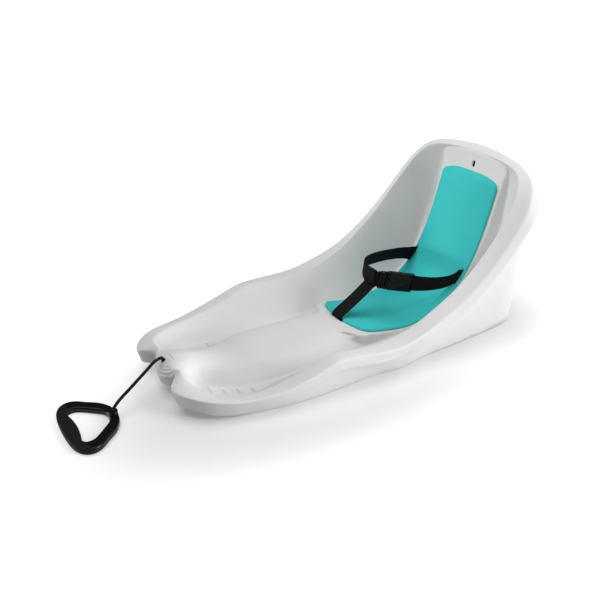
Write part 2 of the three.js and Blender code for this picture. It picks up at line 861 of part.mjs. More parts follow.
function hemRing(place, across) {
  const { center, radius } = anchorPlace(place);
  const sideways = place.normal.clone().cross(across);
  const stops = Array.from({ length: round_sides }, (_, i) => {
    const angle = (2 * Math.PI * i) / round_sides;
    const point = center.clone().addScaledVector(place.normal, radius * Math.cos(angle));
    return stop(point.addScaledVector(sideways, radius * Math.sin(angle)), across);
  });
  return ribbon(stops, round_sides, true);
}

// The webbing's first stops: from the hem's ring out through its slot
function slotStops(place, across) {
  const { center, radius } = anchorPlace(place);
  return [
    stop(center.clone().addScaledVector(place.normal, radius), across),
    stop(place.point.clone(), across),
    stop(place.point.clone().addScaledVector(place.normal, slot_lead / 2), across),
    stop(place.point.clone().addScaledVector(place.normal, slot_lead), across),
  ];
}

function anchorBar(name, place, across) {
  const bar = rod(anchor_diameter, anchor_length, round_sides).translate(0, 0, -anchor_length / 2);
  return piece(name, bar.applyMatrix4(alignedAt(anchorPlace(place).center, across)), buckle_black);
}

// The buckle's own axes: a from the plug to the socket, b across the webbing, c through it
function buckleFrame() {
  const a = new THREE.Vector3(...buckle_direction).normalize();
  const b = Z.clone().addScaledVector(a, -a.z).normalize();
  return frameAt(fromShares(...buckle_shares), a, b, a.clone().cross(b));
}

// Stops given in the buckle's frame as places along and through it
function buckleStops(places) {
  const frame = buckleFrame();
  const b = new THREE.Vector3().setFromMatrixColumn(frame, 1);
  return places.map(([along, through]) => stop(new THREE.Vector3(along, 0, through).applyMatrix4(frame), b));
}

function lapStrapRight() {
  const place = lapSlot(-1);
  const over = plug_bar_height / 2 + weave_clearance + webbing_thickness / 2;
  const first_gap = plug_bar + strap_gap / 2;
  const second_gap = first_gap + plug_bar + strap_gap;
  const weave = buckleStops([
    [0, -over],
    [plug_bar - clearance, -over],
    [first_gap, 0],
    [plug_bar + strap_gap + clearance, over],
    [second_gap - strap_gap / 2 - clearance, over],
    [second_gap, 0],
    [second_gap + clearance, -over],
    [second_gap + clearance, -2 * over - webbing_thickness],
  ]);
  const stops = [...slotStops(place, place.along), ...stopsFrom(right_strap_shares), ...weave];
  return geometryOf(ribbon(stops, strap_steps).add(hemRing(place, place.along)));
}

function lapStrapLeft() {
  const place = lapSlot(1);
  const over = Math.hypot(socket_bar, socket_bar_height) / 2 + clearance + webbing_thickness / 2;
  const middle = buckle_length - socket_bar / 2;
  const ring = Array.from({ length: round_sides / 2 }, (_, i) => {
    const angle = (2 * Math.PI * i) / (round_sides / 2);
    return [middle + over * Math.cos(angle), over * Math.sin(angle)];
  });
  const loop = ribbon(buckleStops(ring), round_sides, true);
  const end = slotStops(place, place.along).reverse();
  const stops = [...buckleStops([ring[0]]), ...stopsFrom(left_strap_shares), ...end];
  return geometryOf(ribbon(stops, strap_steps).add(loop).add(hemRing(place, place.along)));
}

function crotchStrap() {
  const place = crownFrame(crotch_slot_station, 0);
  const passing = stopsFrom(right_strap_shares)[crotch_loop_row].point;
  const reach = webbing_thickness + loop_play;
  const half = webbing_width / 2 + webbing_thickness / 2 + loop_play;
  const side = half - reach;
  const heights = [-side, 0, side];
  const front = heights.map((z) => [-reach, z]);
  const back = heights.map((z) => [reach, -z]);
  const around = [...front, [0, half], ...back, [0, -half]];
  const loop = around.map(([y, z]) => stop(passing.clone().add(new THREE.Vector3(0, y, z)), X));
  const stops = [...slotStops(place, X), ...stopsFrom(crotch_strap_shares).slice(1), loop.at(-1)];
  const ring = ribbon(loop, 2 * round_sides, true);
  return geometryOf(ribbon(stops, strap_steps).add(ring).add(hemRing(place, X)));
}

// Buckle, built in its own frame

function box(a0, a1, b0, b1, c0, c1) {
  const geometry = new THREE.BoxGeometry(a1 - a0, b1 - b0, c1 - c0);
  return solid(geometry.translate((a0 + a1) / 2, (b0 + b1) / 2, (c0 + c1) / 2));
}

function bevelOf(round) {
  const size = { bevelThickness: round, bevelSize: round, bevelOffset: -round };
  return { bevelEnabled: round > 0, bevelSegments: round_steps, ...size };
}

// Plate with rounded corners and edges, from a0 to a1 and centred in b and c
function plate(a0, a1, width, height, corner) {
  const half = width / 2;
  const outline = new THREE.Shape();
  outline.moveTo(a0 + corner, -half).lineTo(a1 - corner, -half);
  outline.quadraticCurveTo(a1, -half, a1, -half + corner).lineTo(a1, half - corner);
  outline.quadraticCurveTo(a1, half, a1 - corner, half).lineTo(a0 + corner, half);
  outline.quadraticCurveTo(a0, half, a0, half - corner).lineTo(a0, -half + corner);
  outline.quadraticCurveTo(a0, -half, a0 + corner, -half);
  const depth = height - 2 * buckle_round;
  const bevel = bevelOf(buckle_round);
  const geometry = new THREE.ExtrudeGeometry(outline, { depth, curveSegments: curve_steps, ...bevel });
  return solid(geometry.translate(0, 0, -depth / 2));
}

function placed(manifold) {
  return geometryOf(manifold).applyMatrix4(buckleFrame());
}

function bucklePlug() {
  const slot_half = slot_length / 2 - socket_wall / 2;
  const second = plug_bar + strap_gap + plug_bar;
  let body = plate(0, plug_length, buckle_width, plug_bar_height, plug_bar);
  body = body.add(plate(second + strap_gap, plug_length, buckle_width, plug_height, buckle_corner));
  for (const start of [plug_bar, second])
    body = body.subtract(box(start, start + strap_gap, -slot_half, slot_half, -plug_height, plug_height));
  const tip = plug_length + blade_length;
  const [side, rise] = [blade_width / 2, blade_height / 2];
  return placed(body.add(box(plug_length - buckle_round, tip, -side, side, -rise, rise)));
}

function releaseProng(side) {
  const start = plug_length + prong_play;
  const tip = start + prong_length;
  const inner = prong_offset - prong_width / 2;
  const outer = prong_offset + prong_width / 2;
  const pad = buckle_width / 2 - clearance;
  const outline = new THREE.Shape();
  outline.moveTo(start, side * inner).lineTo(tip - prong_width, side * inner);
  outline.lineTo(tip, side * outer).lineTo(tip, side * (pad - prong_width));
  outline.quadraticCurveTo(tip, side * pad, tip - prong_width, side * pad);
  outline.lineTo(tip - pad_length, side * pad).lineTo(tip - pad_length, side * outer);
  outline.lineTo(start, side * outer);
  const options = { depth: blade_height, bevelEnabled: false, curveSegments: curve_steps };
  const geometry = new THREE.ExtrudeGeometry(outline, options);
  return placed(solid(geometry.translate(0, 0, -blade_height / 2)));
}

function buckleSocket() {
  const mouth = plug_length + clearance;
  const slot_half = slot_length / 2 - socket_wall / 2;
  const room = buckle_width / 2 - socket_wall;
  const high = blade_height / 2 + prong_play;
  const slot_end = buckle_length - socket_bar;
  let body = plate(mouth, buckle_length, buckle_width, buckle_height, plug_bar);
  body = body.subtract(box(0, mouth + socket_depth, -room, room, -high, high));
  const window = mouth + window_start;
  body = body.subtract(box(window, window + window_length, -buckle_width, buckle_width, -high, high));
  const slot_start = slot_end - strap_gap;
  body = body.subtract(box(slot_start, slot_end, -slot_half, slot_half, -buckle_height, buckle_height));
  const bar_high = socket_bar_height / 2;
  const above = box(slot_start, 2 * buckle_length, -slot_half, slot_half, bar_high, buckle_height);
  const below = box(slot_start, 2 * buckle_length, -slot_half, slot_half, -buckle_height, -bar_high);
  return placed(body.subtract(above).subtract(below));
}

// Pull rope and hand loop

// Knot round the rope: a barrel of turns with grooves between them, and a bore, from z = 0 up
function knot(diameter, length) {
  const bore = rope_diameter / 2 + rope_clearance;
  const outer = diameter / 2;
  const groove = outer - knot_groove;
  const pitch = length / knot_turn_count;
  const profile = [new THREE.Vector2(bore, 0), new THREE.Vector2(groove, 0)];
  for (let turn = 0; turn < knot_turn_count; turn++) {
    profile.push(new THREE.Vector2(outer, (turn + 1 / 3) * pitch));
    profile.push(new THREE.Vector2(outer, (turn + 2 / 3) * pitch));
    profile.push(new THREE.Vector2(groove, (turn + 1) * pitch));
  }
  profile.push(new THREE.Vector2(bore, length), profile[0].clone());
  return new THREE.LatheGeometry(profile, round_sides).rotateX(Math.PI / 2);
}

function noseKnot() {
  const { point, normal } = ropeHole();
  const start = point.clone().addScaledVector(normal, -(hull_wall + knot_gap + knot_length));
  return knot(knot_diameter, knot_length).applyMatrix4(alignedAt(start, normal));
}

function borePlace(height) {
  return new THREE.Vector3(handle_center_x, handle_apex_y - handle_bore_share * handle_depth, height);
}

function pullRope() {
  const { point, normal } = ropeHole();
  const tail = hull_wall + knot_gap + knot_length + rope_diameter / 2;
  const reaches = [-tail, -tail / 2, 0, rope_diameter];
  const start = reaches.map((reach) => point.clone().addScaledVector(normal, reach));
  const between = rope_route.map((place) => new THREE.Vector3(...place));
  const tail_height = handle_knot_gap - rope_tail_length;
  const end = [handle_boss_height, handle_pocket_depth, tail_height].map(borePlace);
  const route = new THREE.CatmullRomCurve3([...start, ...between, ...end]);
  const outline = new THREE.Shape();
  outline.absarc(0, 0, rope_diameter / 2, 0, 2 * Math.PI);
  const section = { bevelEnabled: false, curveSegments: rope_sides / 2 };
  return new THREE.ExtrudeGeometry(outline, { steps: rope_steps, extrudePath: route, ...section });
}

// A closed outline from the shares of its half, moved in by a distance
function handleLoop(rows, inset) {
  const place = ([x, y], side) => new THREE.Vector3(side * x * handle_width, -y * handle_depth, 0);
  const half = rows.map((row) => place(row, -1));
  const other = rows.slice(1, -1).reverse().map((row) => place(row, 1));
  const curve = new THREE.CatmullRomCurve3([...half, ...other], true);
  return Array.from({ length: handle_steps }, (_, i) => {
    const point = curve.getPoint(i / handle_steps);
    const tangent = curve.getTangent(i / handle_steps);
    const inward = new THREE.Vector2(-tangent.y, tangent.x).multiplyScalar(inset);
    return new THREE.Vector2(point.x + inward.x, point.y + inward.y);
  });
}

// The whole loop's solid, inset on every face
function handleBody(inset, round) {
  const outline = new THREE.Shape(handleLoop(handle_outline_shares, inset));
  outline.holes.push(new THREE.Path(handleLoop(handle_hole_shares, -inset)));
  const depth = handle_height - 2 * inset - 2 * round;
  const geometry = new THREE.ExtrudeGeometry(outline, { depth, ...bevelOf(round) });
  return solid(geometry.translate(0, 0, inset + round));
}

// The part of the loop below the seam, where the grip sits
function gripZone(seam) {
  const edge = -handle_seam_share * handle_depth - seam;
  return box(-handle_width, handle_width, edge - handle_depth, edge, -handle_height, 2 * handle_height);
}

function atHandle(manifold) {
  return geometryOf(manifold).translate(handle_center_x, handle_apex_y, 0);
}

function handleFrame() {
  const boss_y = -handle_bore_share * handle_depth;
  const sides = 2 * round_sides;
  const at = (diameter, low, high) => solid(rod(diameter, high - low, sides).translate(0, boss_y, low));
  let body = handleBody(0, handle_round).subtract(gripZone(0));
  body = body.add(handleBody(grip_wall, 0)).add(at(handle_boss_width, 0, handle_boss_height));
  body = body.subtract(at(handle_pocket, -cut_depth, handle_pocket_depth));
  return atHandle(body.subtract(at(handle_bore, 0, handle_boss_height + cut_depth)));
}

function handleGrip() {
  const sleeve = handleBody(0, handle_round).intersect(gripZone(grip_seam));
  return atHandle(sleeve.subtract(handleBody(grip_wall - clearance, 0)));
}

function handleKnot() {
  return knot(handle_knot_diameter, handle_knot_length).translate(...borePlace(handle_knot_gap).toArray());
}

const group = new THREE.Group();
group.add(piece("hull_shell", hullWithHoles(), shell_white));
group.add(piece("seat_mat", seatMat(), mat_teal));
group.add(anchorBar("lap_anchor_bar_left", lapSlot(1), lapSlot(1).along));
group.add(anchorBar("lap_anchor_bar_right", lapSlot(-1), lapSlot(-1).along));
group.add(anchorBar("crotch_anchor_bar", crownFrame(crotch_slot_station, 0), X));
group.add(piece("crotch_strap", crotchStrap(), webbing_black));
group.add(piece("lap_strap_right", lapStrapRight(), webbing_black));
group.add(piece("lap_strap_left", lapStrapLeft(), webbing_black));
group.add(piece("buckle_plug", bucklePlug(), buckle_black));
group.add(piece("buckle_prong_upper", releaseProng(1), buckle_black));
group.add(piece("buckle_prong_lower", releaseProng(-1), buckle_black));
group.add(piece("buckle_socket", buckleSocket(), buckle_black));
group.add(piece("pull_rope", pullRope(), rope_black));
group.add(piece("rope_knot", noseKnot(), rope_black));
group.add(piece("handle_knot", handleKnot(), rope_black));
group.add(piece("handle_frame", handleFrame(), handle_black));
group.add(piece("handle_grip", handleGrip(), grip_grey));

// The hull's length is centred on the origin
const hull_box = new THREE.Box3().setFromObject(group.getObjectByName("hull_shell"));
group.position.setY(-(hull_box.min.y + hull_box.max.y) / 2);
export default group;
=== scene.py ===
from math import cos, pi, radians, sin

import bmesh
import bpy
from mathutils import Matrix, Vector
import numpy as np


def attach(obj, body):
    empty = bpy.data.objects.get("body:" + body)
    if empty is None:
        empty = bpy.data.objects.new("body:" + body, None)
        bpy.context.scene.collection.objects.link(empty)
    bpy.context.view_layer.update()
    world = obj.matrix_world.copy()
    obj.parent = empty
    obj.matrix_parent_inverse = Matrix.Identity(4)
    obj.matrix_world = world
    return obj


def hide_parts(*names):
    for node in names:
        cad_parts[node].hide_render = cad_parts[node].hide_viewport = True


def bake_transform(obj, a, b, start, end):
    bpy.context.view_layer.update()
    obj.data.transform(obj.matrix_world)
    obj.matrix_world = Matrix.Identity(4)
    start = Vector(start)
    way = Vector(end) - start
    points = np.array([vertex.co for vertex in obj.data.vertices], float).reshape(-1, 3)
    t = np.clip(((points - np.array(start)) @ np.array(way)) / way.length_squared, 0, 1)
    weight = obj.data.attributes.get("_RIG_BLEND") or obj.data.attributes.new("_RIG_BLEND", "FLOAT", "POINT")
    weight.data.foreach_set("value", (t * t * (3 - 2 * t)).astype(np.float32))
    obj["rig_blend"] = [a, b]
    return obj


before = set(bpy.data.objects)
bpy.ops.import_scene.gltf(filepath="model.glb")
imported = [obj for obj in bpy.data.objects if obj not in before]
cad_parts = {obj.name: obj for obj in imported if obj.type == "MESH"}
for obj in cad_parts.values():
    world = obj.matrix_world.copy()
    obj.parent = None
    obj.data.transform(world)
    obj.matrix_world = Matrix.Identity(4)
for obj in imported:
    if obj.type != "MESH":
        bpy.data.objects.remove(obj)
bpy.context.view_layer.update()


# Camera. The photograph was taken from beyond the sled's left front, at about 1.6 m, looking
# down by 28 degrees. The lens is the one that gives the picture's perspective.

look_down = 28.3
look_round = 57.07
sight = bpy.data.cameras.new("photo_view")
sight.lens = 42.9
sight.sensor_width = 36
sight.clip_start = 0.05
viewer = bpy.data.objects.new("photo_view", sight)
viewer.location = (1.165, -0.8425, 0.859)
viewer.rotation_euler = (radians(90 - look_down), 0, radians(look_round))
bpy.context.scene.collection.objects.link(viewer)
bpy.context.scene.camera = viewer


# Pull rope. A black braided cord of 6.5 mm, knotted under the nose, that comes up through the
# hole, bends over its edge and runs down to the hand loop, where it is knotted again.

rope_diameter = 0.0065
rope_ring_sides = 16
path_steps = 3
braid_turn = 0.018
braid_strands = 4
braid_depth = 0.0007
braid_fuzz = 900
# The cord's colour in the braid's hollows is a painted shade.
braid_hollow_painted_shade = (0.0015, 0.0015, 0.0015, 1)
braid_crown = (0.012, 0.0116, 0.0112, 1)
rope_stops = [
    (0, -0.4050, 0.0490),
    (0, -0.4108, 0.0599),
    (0, -0.4162, 0.0708),
    (0.0004, -0.4189, 0.0768),
    (0.002, -0.42445, 0.078),
    (0.0046, -0.43305, 0.0776),
    (0.0076, -0.44295, 0.0742),
    (0.0121, -0.45845, 0.066),
    (0.0164, -0.47345, 0.0584),
    (0.0236, -0.49845, 0.046),
    (0.0306, -0.52245, 0.0344),
    (0.0345, -0.53525, 0.0256),
    (0.036, -0.54144, 0.019),
    (0.036, -0.54144, 0.015),
    (0.036, -0.54144, 0.0035),
]


class Wire:
    """A value in a material's nodes. A sum or product of wires adds a Math node."""

    def __init__(self, finish, socket):
        self.finish = finish
        self.socket = socket

    def math(self, operation, *others):
        values = dict(enumerate((self, *others)))
        return self.finish.node("ShaderNodeMath", {"operation": operation}, values)

    def __add__(self, other):
        return self.math("ADD", other)

    def __sub__(self, other):
        return self.math("SUBTRACT", other)

    def __mul__(self, other):
        return self.math("MULTIPLY", other)

    def __truediv__(self, other):
        return self.math("DIVIDE", other)

    def __rsub__(self, other):
        return self.finish.node("ShaderNodeMath", {"operation": "SUBTRACT"}, {0: other, 1: self})

    __radd__ = __add__

    def band(self, low, high):
        """0 below low, 1 above high, and smooth between them."""
        settings = {"interpolation_type": "SMOOTHSTEP"}
        limits = {"Value": self, "From Min": low, "From Max": high}
        return self.finish.node("ShaderNodeMapRange", settings, limits)


class Finish:
    """A material whose nodes are added one at a time, and that ends in one Principled shader."""

    def __init__(self, name):
        self.material = bpy.data.materials.new(name)
        self.material.use_nodes = True
        self.tree = self.material.node_tree
        self.tree.nodes.clear()

    def node(self, kind, settings, inputs, output=0):
        made = self.tree.nodes.new(kind)
        for name, value in settings.items():
            setattr(made, name, value)
        for name, value in inputs.items():
            if isinstance(value, Wire):
                self.tree.links.new(value.socket, made.inputs[name])
            else:
                made.inputs[name].default_value = value
        return Wire(self, made.outputs[output])

    def place(self):
        return self.node("ShaderNodeTexCoord", {}, {}, "Object")

    def uv(self):
        return self.node("ShaderNodeTexCoord", {}, {}, "UV")

    def axis(self, vector, letter):
        return self.node("ShaderNodeSeparateXYZ", {}, {0: vector}, letter)

    def noise(self, vector, scale, detail, roughness=0.5):
        sizes = {"Vector": vector, "Scale": scale, "Detail": detail, "Roughness": roughness}
        return self.node("ShaderNodeTexNoise", {}, sizes)

    def mix(self, share, first, second):
        return self.node("ShaderNodeMix", {"data_type": "RGBA"}, {0: share, 6: first, 7: second}, 2)

    def bump(self, height, distance, below=None):
        sizes = {"Height": height, "Distance": distance, "Strength": 1.0}
        if below:
            sizes["Normal"] = below
        return self.node("ShaderNodeBump", {}, sizes)

    def shade(self, **sockets):
        named = {name.replace("_", " "): value for name, value in sockets.items()}
        shader = self.node("ShaderNodeBsdfPrincipled", {}, named)
        surface = self.tree.nodes.new("ShaderNodeOutputMaterial")
        self.tree.links.new(shader.socket, surface.inputs["Surface"])
        return self.material


def smooth_path(stops, steps):
    """Points along a curve that passes through every stop, steps to a span."""
    ends = [stops[0] * 2 - stops[1], *stops, stops[-1] * 2 - stops[-2]]
    points = []
    for before, here, there, after in zip(ends, ends[1:], ends[2:], ends[3:]):
        for k in range(steps):
            t = k / steps
            bend = here * 2 + (there - before) * t
            bend += (before * 2 - here * 5 + there * 4 - after) * t**2
            bend += (here * 3 - before - there * 3 + after) * t**3
            points.append(bend / 2)
    return [*points, stops[-1]]


def circle(sides):
    """The points of a unit circle."""
    return [(cos(2 * pi * k / sides), sin(2 * pi * k / sides)) for k in range(sides)]


def link(name, bm, material):
    """An object at the origin with the finished mesh, smooth shaded."""
    mesh = bpy.data.meshes.new(name)
    for face in bm.faces:
        face.smooth = True
    bm.to_mesh(mesh)
    bm.free()
    mesh.materials.append(material)
    made = bpy.data.objects.new(name, mesh)
    bpy.context.scene.collection.objects.link(made)
    return made


def swept(section, path, sideways, closed=False):
    """A section of (across, through) points carried along a path, with its length in v."""
    bm = bmesh.new()
    layer = bm.loops.layers.uv.new("UVMap")
    rings, reach, lengths = [], 0.0, []
    for k, (point, side) in enumerate(zip(path, sideways)):
        before, after = path[max(k - 1, 0)], path[min(k + 1, len(path) - 1)]
        if closed:
            before, after = path[k - 1], path[(k + 1) % len(path)]
        along = (after - before).normalized()
        across = (side - along * side.dot(along)).normalized()
        through = along.cross(across)
        reach += (point - path[k - 1]).length if k else 0.0
        lengths.append(reach)
        rings.append([bm.verts.new(point + across * a + through * b) for a, b in section])
    count = len(section)
    corner = [Vector(point) for point in section]
    round_about = [0.0]
    for here, there in zip(corner, corner[1:] + corner[:1]):
        round_about.append(round_about[-1] + (there - here).length)
    spans = list(zip(rings, rings[1:], lengths, lengths[1:]))
    if closed:
        last = lengths[-1] + (path[0] - path[-1]).length
        spans.append((rings[-1], rings[0], lengths[-1], last))
    for here, there, low, high in spans:
        for k in range(count):
            beyond = (k + 1) % count
            face = bm.faces.new((here[k], here[beyond], there[beyond], there[k]))
            corners = ((k, low), (k + 1, low), (k + 1, high), (k, high))
            for loop, (u, v) in zip(face.loops, corners):
                loop[layer].uv = (round_about[u] / round_about[-1], v)
    if not closed:
        bm.faces.new(rings[0][::-1])
        bm.faces.new(rings[-1])
    bmesh.ops.recalc_face_normals(bm, faces=bm.faces)
    return bm


def cord_finish():
    """Braided cord: strands that cross in two directions, with fuzz between them.

    The hollows between the strands are darker, a painted shade.
    """
    cloth = Finish("rope_braid")
    uv = cloth.uv()
    u, v = cloth.axis(uv, "X"), cloth.axis(uv, "Y") / braid_turn
    right = ((u * braid_strands + v * braid_strands) * (2 * pi)).math("SINE")
    left = ((u * braid_strands - v * braid_strands) * (2 * pi)).math("SINE")
    weave = right.math("MAXIMUM", left)
    fuzz = cloth.noise(cloth.place(), braid_fuzz, 2.0)
    # Darker where the braid is low: painted shade in its hollows, with random fuzz.
    crown = weave.band(-0.2, 1.0) * 0.8 + fuzz * 0.2
    tone = cloth.mix(crown, braid_hollow_painted_shade, braid_crown)
    relief = cloth.bump(weave + fuzz * 0.3, braid_depth)
    return cloth.shade(Base_Color=tone, Roughness=0.82, Normal=relief, Specular_IOR_Level=0.2)


rope_cloth = cord_finish()
rope_line = smooth_path([Vector(stop) for stop in rope_stops], path_steps)
rope_ring = circle(rope_ring_sides)
rope_section = [(x * rope_diameter / 2, y * rope_diameter / 2) for x, y in rope_ring]
rope_sides = [Vector((1, 0, 0))] * len(rope_line)
rope = link("rope", swept(rope_section, rope_line, rope_sides), rope_cloth)
rope_length = sum((b - a).length for a, b in zip(rope_line, rope_line[1:]))
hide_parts("pull_rope")
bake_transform(rope, "sled", "hand_loop", start=rope_stops[2], end=rope_stops[7])


# Knots. The rope's own overhand knots, one pulled up under the nose and one inside the hand
# loop's apex, where its pocket hides it.

knot_levels = 1


def merged(node):
    """A copy of a CAD piece with its loose triangles joined."""
    bm = bmesh.new()
    bm.from_mesh(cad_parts[node].data)
    bmesh.ops.remove_doubles(bm, verts=bm.verts, dist=1e-6)
    return bm


def rounded(piece, levels):
    """Subdivides a piece's faces to a smooth surface, the same in the window and the picture."""
    rounding = piece.modifiers.new("round", "SUBSURF")
    rounding.levels = rounding.render_levels = levels
    return piece


for node, name, body in (
    ("rope_knot", "nose_knot", "sled"),
    ("handle_knot", "loop_knot", "hand_loop"),
):
    knot = rounded(link(name, merged(node), rope_cloth), knot_levels)
    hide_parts(node)
    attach(knot, body)


# Hand loop. A glossy black plastic ring of rounded triangular form, thickened round the rope
# at its apex, with a softer dark grey sleeve moulded over its wide side.

loop_levels = 2
loop_turn = radians(35)
full_turn = radians(75)
quad_bend = radians(50)
quad_skew = radians(60)
lengthwise_share = 0.1
facet_share = 0.75
gloss_patches = 18
gloss_change = 0.16
grain_gloss = 0.08
patch_tone = 0.88


def creased(node, soft, full, facets_from=-1.0):
    """A CAD piece in four-sided faces, with a crease along each edge as hard as its turn.

    Edges that run across the piece's length are its facets, so only a hard one takes a crease,
    and so are all edges of its front, up to facets_from."""
    bm = merged(node)
    bmesh.ops.join_triangles(
        bm,
        faces=bm.faces,
        angle_face_threshold=quad_bend,
        angle_shape_threshold=quad_skew,
    )
    crease = bm.edges.layers.float.new("crease_edge")
    for edge in bm.edges:
        first, second = (vert.co for vert in edge.verts)
        run = second - first
        lengthwise = abs(run.y) > run.length * lengthwise_share and first.y > facets_from
        start = soft if lengthwise else max(soft, full * facet_share)
        edge[crease] = min(max((edge.calc_face_angle(0) - start) / (full - start), 0), 1)
    return bm


def plastic(name, colour, roughness, grain, depth, shine):
    """Moulded plastic: one colour, with a fine grain and a slow change of gloss."""
    moulded = Finish(name)
    place = moulded.place()
    fine = moulded.noise(place, grain, 4.0)
    slow = moulded.noise(place, gloss_patches, 2.0)
    gloss = roughness + (slow - 0.5) * gloss_change + (fine - 0.5) * grain_gloss
    darker = tuple(part * patch_tone for part in colour)
    tone = moulded.mix(slow.band(0.3, 0.7), darker + (1,), colour + (1,))
    relief = moulded.bump(fine, depth)
    return moulded.shade(Base_Color=tone, Roughness=gloss, Normal=relief, Specular_IOR_Level=shine)


loop_plastic = plastic(
    "loop_gloss_black",
    colour=(0.002, 0.002, 0.002),
    roughness=0.22,
    grain=300,
    depth=0.00005,
    shine=0.25,
)
grip_rubber = plastic(
    "grip_soft_grey",
    colour=(0.008, 0.008, 0.0082),
    roughness=0.6,
    grain=1400,
    depth=0.0002,
    shine=0.15,
)
for node, name, material, slot in (
    ("handle_frame", "hand_loop_frame", loop_plastic, "handle_plastic"),
    ("handle_grip", "hand_loop_grip", grip_rubber, "grip_rubber"),
):
    part = rounded(link(name, creased(node, loop_turn, full_turn), material), loop_levels)
    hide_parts(node)
    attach(part, "hand_loop")


# Hull. One white polyethylene moulding of about 3 mm, with a rolled rim that hangs free as a
# lip along its sides, satin inside and out, with a faint grain from the mould.

hull_levels = 2
soft_turn = radians(18)
hull_shade = (0.68, 0.678, 0.673, 1)
hull_white = (0.71, 0.708, 0.703, 1)
hull_patches = 5
hull_roughness = 0.5
hull_gloss_change = 0.12
hull_grain = 700
hull_grain_gloss = 0.06
hull_grain_depth = 0.00006
nose_start = -0.3
rope_hole = Vector((0, -0.4165, 0.0715))
rope_hole_reach = 0.011
rest_start = -0.403
rest_end = -0.375
rest_half = 0.025
lobe_end = -0.36
lobe_weld = 0.0009
sole_top = 0.001
tread_start = -0.352
tread_pitch = 0.0273
tread_count = 4
tread_crest = (0.88, 0.99)
tread_margin = 0.01
tread_row_fade = 0.003
tread_splay = 0.39
tread_inner = 0.062
tread_outer = 0.082
tread_fade = 0.005
tread_depth = 0.0022
step_centre = (0, -0.39, 0.078)
step_pitch = 0.0065
step_end = -0.41
step_half = 0.06
step_end_fade = 0.006
step_side_fade = 0.008
step_depth = 0.0007
tongue_half = 0.052


def hull_finish():
    """Satin white, with the treads on the channels' floor and the steps on the tongue in relief."""
    shell = Finish("hull_satin_white")
    place = shell.place()
    grain = shell.noise(place, hull_grain, 3.0)
    slow = shell.noise(place, hull_patches, 3.0)
    tone = shell.mix(slow.band(0.35, 0.65), hull_shade, hull_white)
    gloss = hull_roughness + (slow - 0.5) * hull_gloss_change + (grain - 0.5) * hull_grain_gloss
    x, y = shell.axis(place, "X"), shell.axis(place, "Y")
    wave = ((y - tread_start) * (2 * pi / tread_pitch)).math("COSINE").band(*tread_crest)
    beside = x.math("ABSOLUTE")
    tread_end = tread_start + tread_pitch * (tread_count - 1)
    begun = (y - tread_start + tread_margin).band(0, tread_row_fade)
    ends = begun * (tread_end + tread_margin - y).band(0, tread_row_fade)
    outwards = beside - (y - tread_start) * tread_splay
    inner = outwards.band(tread_inner, tread_inner + tread_fade)
    treads = wave * ends * inner * (tread_outer - outwards).band(0, tread_fade)
    apart = {"operation": "DISTANCE"}
    from_hole = shell.node("ShaderNodeVectorMath", apart, {0: place, 1: step_centre}, "Value")
    step = (from_hole * (2 * pi / step_pitch)).math("SINE")
    in_front = (step_end - y).band(0, step_end_fade)
    on_tongue = in_front * (step_half - beside).band(0, step_side_fade)
    steps = shell.bump(step * on_tongue, step_depth)
    moulded = shell.bump(treads, tread_depth, below=steps)
    relief = shell.bump(grain, hull_grain_depth, below=moulded)
    return shell.shade(Base_Color=tone, Roughness=gloss, Normal=relief, Specular_IOR_Level=0.3)


def between(table, value):
    """The table's second column at a value of its first, in straight runs."""
    for (low, here), (high, there) in zip(table, table[1:]):
        if low <= value <= high:
            return here + (there - here) * (value - low) / (high - low)
    return 0.0


def lobes(bm):
    """The vertices of the two lobes beside the tongue."""
    return [vert for vert in bm.verts if vert.co.y < lobe_end and abs(vert.co.x) > tongue_half]


def smoothed(bm, verts, rounds, factor, axes):
    """Moves vertices towards the middle of their neighbours, along the named axes only."""
    for _ in range(rounds):
        bmesh.ops.smooth_vert(
            bm,
            verts=verts,
            factor=factor,
            use_axis_x="x" in axes,
            use_axis_y="y" in axes,
            use_axis_z="z" in axes,
        )


# The tunnel between the sitter's legs has a flat top and steep flanks, and its rear part stands
# higher than its front, behind a crease. tunnel_lift is its rise at each share of the way from
# the middle to its foot, tunnel_foot is the foot's distance from the middle along the sled, and
# tunnel_share is how much of the rise each place along the sled gets.
tunnel_lift = (
    (0, 0.0),
    (0.22, 0.001),
    (0.33, 0.003),
    (0.45, 0.0052),
    (0.57, 0.0075),
    (0.68, 0.0092),
    (0.79, 0.0098),
    (0.9, 0.0075),
    (0.98, 0.002),
    (1.04, 0.0),
)
tunnel_foot = (
    (-0.45, 0.06),
    (-0.39, 0.064),
    (-0.32, 0.07),
    (-0.27, 0.082),
    (-0.17, 0.09),
    (0.1, 0.09),
)
tunnel_share = (
    (-0.4, 0.0),
    (-0.35, 0.5),
    (-0.24, 0.5),
    (-0.215, 1.0),
    (-0.05, 1.0),
    (-0.005, 0.0),
)
# The wall stands close beside the seat panel, with only a narrow groove between them.
# groove_squeeze is how far the wall moves at each distance from the middle, and groove_share is
# how much of that each place along the sled gets.
groove_squeeze = (
    (0.087, 0.0),
    (0.094, -0.0035),
    (0.1, -0.0075),
    (0.106, -0.0105),
    (0.126, -0.0195),
    (0.136, -0.0185),
    (0.165, -0.008),
    (0.188, 0.0),
)
groove_share = ((-0.28, 0.0), (-0.2, 1.0), (0.34, 1.0), (0.37, 0.0))
shell = creased("hull_shell", soft_turn, full_turn, nose_start)
bmesh.ops.remove_doubles(shell, verts=lobes(shell), dist=lobe_weld)
smoothed(shell, lobes(shell), rounds=2, factor=0.4, axes="xy")
held = shell.edges.layers.float["crease_edge"]
for edge in shell.edges:
    if (edge.verts[0].co - rope_hole).length < rope_hole_reach:
        edge[held] = 1.0
rest = [
    vert
    for vert in shell.verts
    if rest_start < vert.co.y < rest_end and abs(vert.co.x) < rest_half
]
smoothed(shell, rest, rounds=10, factor=0.5, axes="z")
